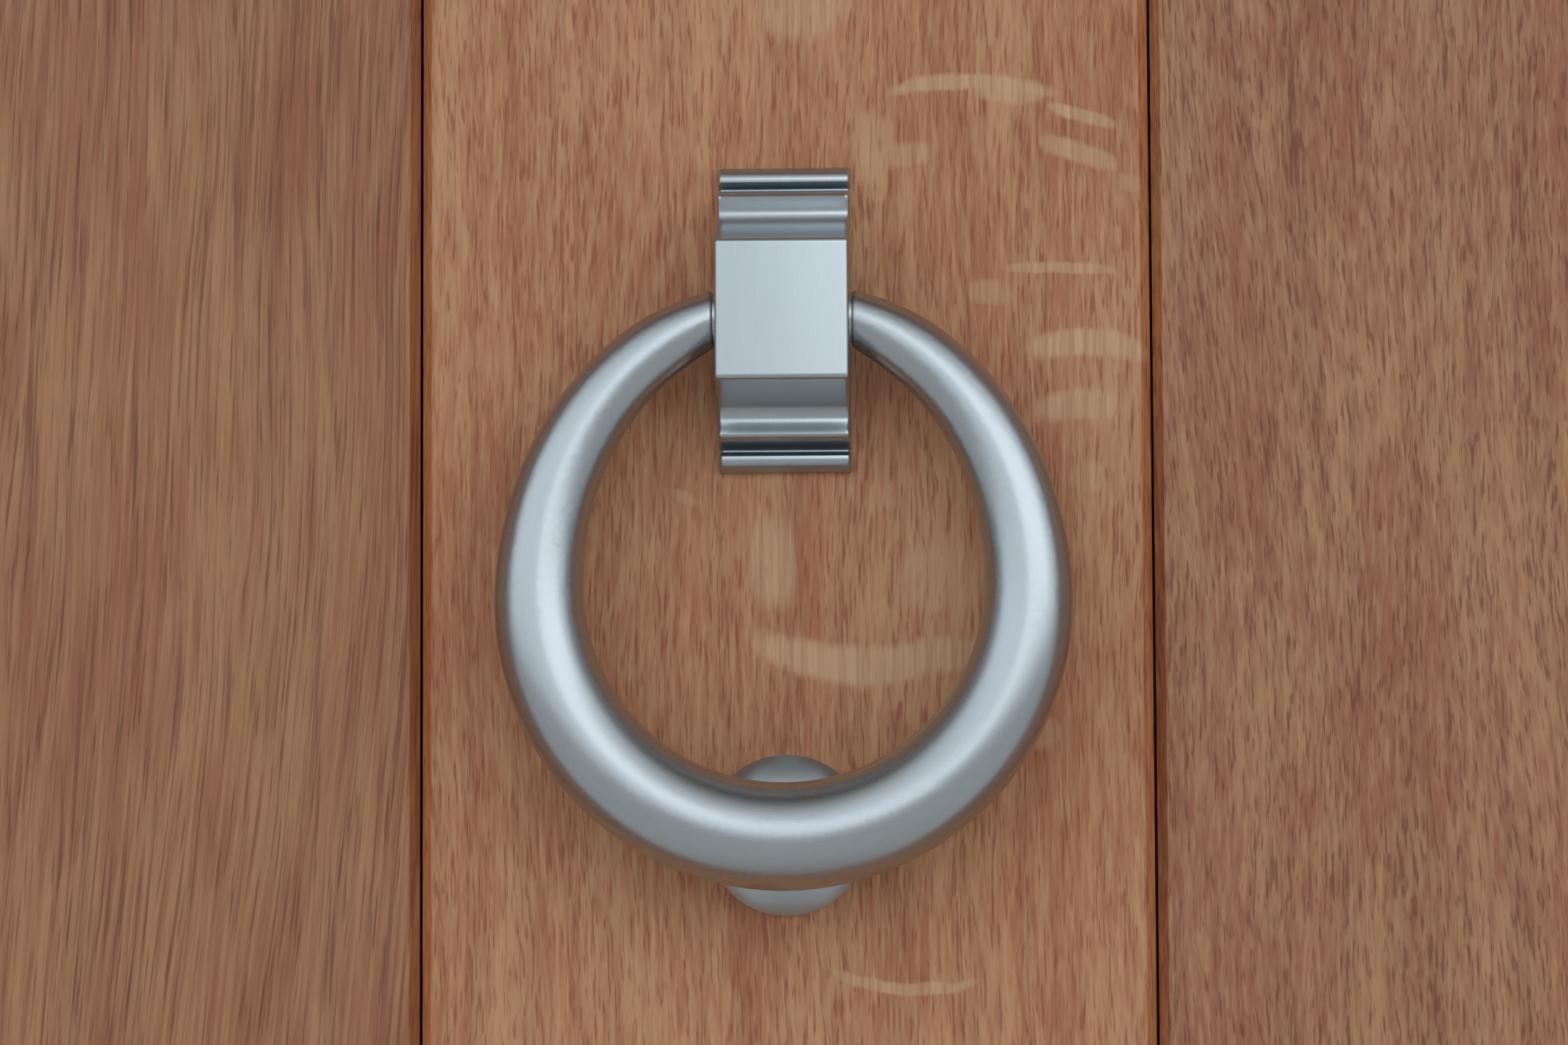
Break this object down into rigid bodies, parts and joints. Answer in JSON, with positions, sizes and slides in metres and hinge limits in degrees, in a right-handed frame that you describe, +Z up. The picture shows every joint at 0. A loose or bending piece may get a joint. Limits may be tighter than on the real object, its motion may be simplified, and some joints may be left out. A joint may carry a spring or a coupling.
{
  "type": "oak boarded door in its frame",
  "caption": "Framed and ledged oak door of tongued upright boards in its oak frame, with a steel ring knocker, lever handles, sash lock and butt hinges.",
  "frame": {"origin": "middle of the sill's underside, in the middle of the frame's depth", "axes": "+Z up, -Y out of the house, +X to the right seen from outside, towards the lock"},
  "size_m": [1.009, 0.196, 2.115],
  "materials": {
    "board_oak": "oak boards, clear satin oil, quarter and rift sawn",
    "leaf_oak": "oak stiles and rails, clear satin oil",
    "frame_oak": "oak frame, clear satin oil",
    "peg_oak": "end grain of oak pegs, oiled",
    "seal_rubber": "soft black seal rubber",
    "satin_steel": "satin stainless steel, fine brushed",
    "bright_steel": "plain stainless steel",
    "lock_paint": "dark grey paint on pressed steel",
    "lock_metal": "plain nickel brass"
  },
  "bodies": {
    "frame": {"sill": "frame_oak", "head": "frame_oak", "hinge_jamb": "frame_oak", "lock_jamb": "frame_oak", "seal_hinge_side": "seal_rubber", "seal_lock_side": "seal_rubber", "seal_head": "seal_rubber", "seal_sill": "seal_rubber", "lower_hinge_frame_plate": "bright_steel", "middle_hinge_frame_plate": "bright_steel", "upper_hinge_frame_plate": "bright_steel", "hinge_pins": "bright_steel", "hinge_screws_in_frame": "bright_steel", "strike_plate": "bright_steel", "strike_screws": "bright_steel"},
    "leaf": {"hinge_stile": "leaf_oak", "lock_stile": "leaf_oak", "top_rail": "leaf_oak", "lock_rail": "leaf_oak", "bottom_rail": "leaf_oak", "upper_brace": "leaf_oak", "lower_brace": "leaf_oak", "leaf_pegs": "peg_oak", "weatherboard": "leaf_oak", "board_1": "board_oak", "board_2": "board_oak", "board_3": "board_oak", "board_4": "board_oak", "board_5": "board_oak", "lower_hinge_leaf_plate": "bright_steel", "middle_hinge_leaf_plate": "bright_steel", "upper_hinge_leaf_plate": "bright_steel", "hinge_screws_in_leaf": "bright_steel", "lock_case": "lock_paint", "lock_case_cover": "lock_paint", "lock_forend": "bright_steel", "forend_screws": "bright_steel", "latch_spring": "bright_steel", "cylinder_body": "lock_metal", "outside_rose": "satin_steel", "inside_rose": "satin_steel", "outside_escutcheon": "satin_steel", "inside_escutcheon": "satin_steel", "rose_screws": "bright_steel", "knocker_bracket": "satin_steel", "striker_button": "satin_steel", "knocker_studs": "bright_steel", "knocker_washers": "bright_steel", "knocker_nuts": "bright_steel"},
    "handles": {"outside_lever": "satin_steel", "inside_lever": "satin_steel", "spindle": "bright_steel", "lock_follower": "lock_metal"},
    "latch": {"latch_bolt": "lock_metal"},
    "turn": {"thumbturn": "satin_steel", "cylinder_cam": "lock_metal", "key_plug": "lock_metal"},
    "bolt": {"deadbolt": "lock_metal"},
    "knocker": {"knocker_ring": "satin_steel", "knocker_pin": "bright_steel"}
  },
  "joints": [
    {"name": "door_swing", "type": "hinge", "parent": "frame", "child": "leaf", "pos_m": [-0.459, 0.054, 1], "axis": [0, 0, 1], "range_deg": [0, 115]},
    {"name": "lever_turn", "type": "hinge", "parent": "leaf", "child": "handles", "pos_m": [0.4005, 0.0255, 1.0885], "axis": [0, -1, 0], "range_deg": [0, 40], "stiffness_Nm_per_rad": 1.2, "springref_deg": -34.38},
    {"name": "latch_slide", "type": "slide", "parent": "leaf", "child": "latch", "axis": [-1, 0, 0], "range_m": [0, 0.011], "deforming": ["latch_spring"]},
    {"name": "thumb_turn", "type": "hinge", "parent": "leaf", "child": "turn", "pos_m": [0.4005, 0.0255, 0.9965], "axis": [0, 1, 0], "range_deg": [0, 90]},
    {"name": "bolt_slide", "type": "slide", "parent": "leaf", "child": "bolt", "axis": [1, 0, 0], "range_m": [0, 0.02]},
    {"name": "knocker_swing", "type": "hinge", "parent": "leaf", "child": "knocker", "pos_m": [0, -0.0115, 1.5015], "axis": [-1, 0, 0], "range_deg": [0, 170]}
  ],
  "couplings": [
    {"joint": "latch_slide", "follows": "lever_turn", "m_per_rad": 0.01575},
    {"joint": "thumb_turn", "follows": "bolt_slide", "rad_per_m": 78.5}
  ]
}
